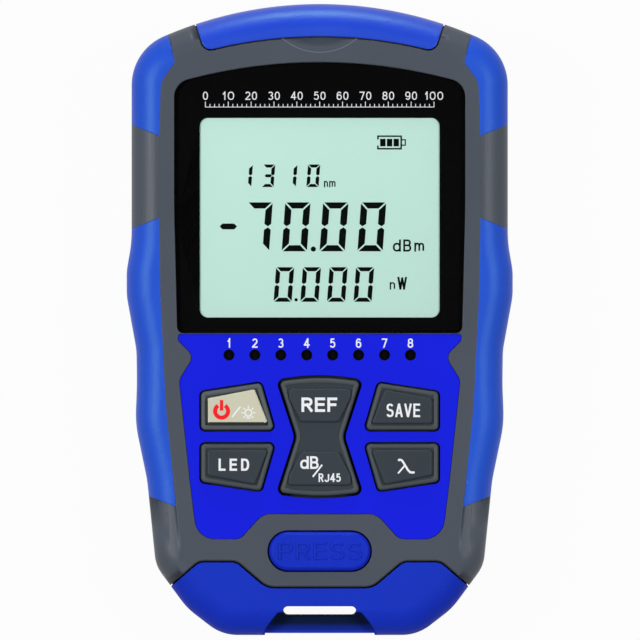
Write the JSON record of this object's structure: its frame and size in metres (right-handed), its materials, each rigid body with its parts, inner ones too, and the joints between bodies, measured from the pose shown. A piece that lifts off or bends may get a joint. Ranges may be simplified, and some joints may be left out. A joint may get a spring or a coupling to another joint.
{
  "type": "optical power meter",
  "caption": "Handheld meter with a display, keypad, rubber grips, hinged cover over optical and network ports, and a slide-off cable-test remote.",
  "frame": {"origin": "middle of the flat back", "axes": "+X across the meter, +Y towards the port end, +Z out of the face with the keys"},
  "size_m": [0.0758, 0.1238, 0.0301],
  "materials": {
    "shell_grey": "fine moulded texture",
    "grip_blue": "soft textured rubber",
    "panel_blue": "printed film",
    "cover_blue": "soft textured rubber",
    "remote_blue": "fine moulded texture",
    "button_blue": "soft rubber",
    "lens_clear": "clear polished acrylic",
    "mask_black": "black print",
    "lcd_mint": "reflective display",
    "backlight_white": "satin",
    "frame_white": "satin",
    "lamp_dark": "dark clear",
    "key_grey": "matte silicone",
    "cap_cream": "matte silicone",
    "board_green": "solder mask",
    "deck_black": "fine texture",
    "metal_nickel": "nickel plate",
    "ferrule_ceramic": "polished",
    "module_metal": "satin",
    "torch_clear": "clear",
    "socket_black": "satin",
    "contact_gold": "gold plate",
    "steel": "plain",
    "latch_plastic": "satin",
    "cell_sleeve": "printed sleeve"
  },
  "bodies": {
    "meter": {"front_shell": "shell_grey", "rear_shell": "shell_grey", "corner_grip_right": "grip_blue", "corner_grip_left": "grip_blue", "side_grip_right": "grip_blue", "side_grip_left": "grip_blue", "keypad_panel": "panel_blue", "display_lens": "lens_clear", "lens_mask": "mask_black", "lcd_glass": "lcd_mint", "lcd_backlight": "backlight_white", "lcd_frame": "frame_white", "indicator_lights": "lamp_dark", "main_board": "board_green", "port_plate": "deck_black", "optical_adapter": "metal_nickel", "adapter_sleeve": "ferrule_ceramic", "detector_module": "module_metal", "laser_port": "metal_nickel", "laser_module": "module_metal", "torch_led": "torch_clear", "network_jack": "socket_black", "network_jack_contacts": "contact_gold", "cover_hinge_pin": "steel", "release_spring": "steel", "button_guide": "deck_black", "battery_contacts": "steel", "battery_door": "shell_grey", "battery_door_screw": "steel", "case_screws": "steel", "power_dome": "steel", "led_dome": "steel", "save_dome": "steel", "wavelength_dome": "steel", "ref_dome": "steel", "db_dome": "steel", "battery_1": "cell_sleeve", "battery_2": "cell_sleeve", "battery_3": "cell_sleeve"},
    "power_key": {"power_key": "key_grey", "power_key_cap": "cap_cream"},
    "led_key": {"led_key": "key_grey"},
    "save_key": {"save_key": "key_grey"},
    "wavelength_key": {"wavelength_key": "key_grey"},
    "centre_key": {"centre_key": "key_grey"},
    "release_button": {"release_button": "button_blue"},
    "top_cover": {"top_cover": "cover_blue"},
    "remote": {"remote_front_shell": "remote_blue", "remote_rear_shell": "remote_blue", "remote_carrier": "socket_black", "remote_jack": "socket_black", "remote_jack_contacts": "contact_gold", "latch_arm": "latch_plastic"}
  },
  "joints": [
    {"name": "power_key_press", "type": "slide", "parent": "meter", "child": "power_key", "axis": [0, 0, -1], "range_m": [0, 0.0008], "stiffness_N_per_m": 1500, "deforming": ["power_dome"]},
    {"name": "led_key_press", "type": "slide", "parent": "meter", "child": "led_key", "axis": [0, 0, -1], "range_m": [0, 0.0008], "stiffness_N_per_m": 1500, "deforming": ["led_dome"]},
    {"name": "save_key_press", "type": "slide", "parent": "meter", "child": "save_key", "axis": [0, 0, -1], "range_m": [0, 0.0008], "stiffness_N_per_m": 1500, "deforming": ["save_dome"]},
    {"name": "wavelength_key_press", "type": "slide", "parent": "meter", "child": "wavelength_key", "axis": [0, 0, -1], "range_m": [0, 0.0008], "stiffness_N_per_m": 1500, "deforming": ["wavelength_dome"]},
    {"name": "centre_key_rock", "type": "hinge", "parent": "meter", "child": "centre_key", "pos_m": [0, -0.023, 0.02355], "axis": [1, 0, 0], "range_deg": [-3.5, 3.5], "stiffness_Nm_per_rad": 0.12, "deforming": ["ref_dome", "db_dome"]},
    {"name": "release_button_press", "type": "slide", "parent": "meter", "child": "release_button", "axis": [0, 0, -1], "range_m": [0, 0.0015], "stiffness_N_per_m": 700, "deforming": ["release_spring", "latch_arm"]},
    {"name": "remote_slide", "type": "slide", "parent": "meter", "child": "remote", "axis": [0, -1, 0], "range_m": [0, 0.035], "deforming": ["latch_arm"]},
    {"name": "cover_hinge", "type": "hinge", "parent": "meter", "child": "top_cover", "pos_m": [0, 0.0586, 0.0055], "axis": [-1, 0, 0], "range_deg": [0, 90]}
  ]
}
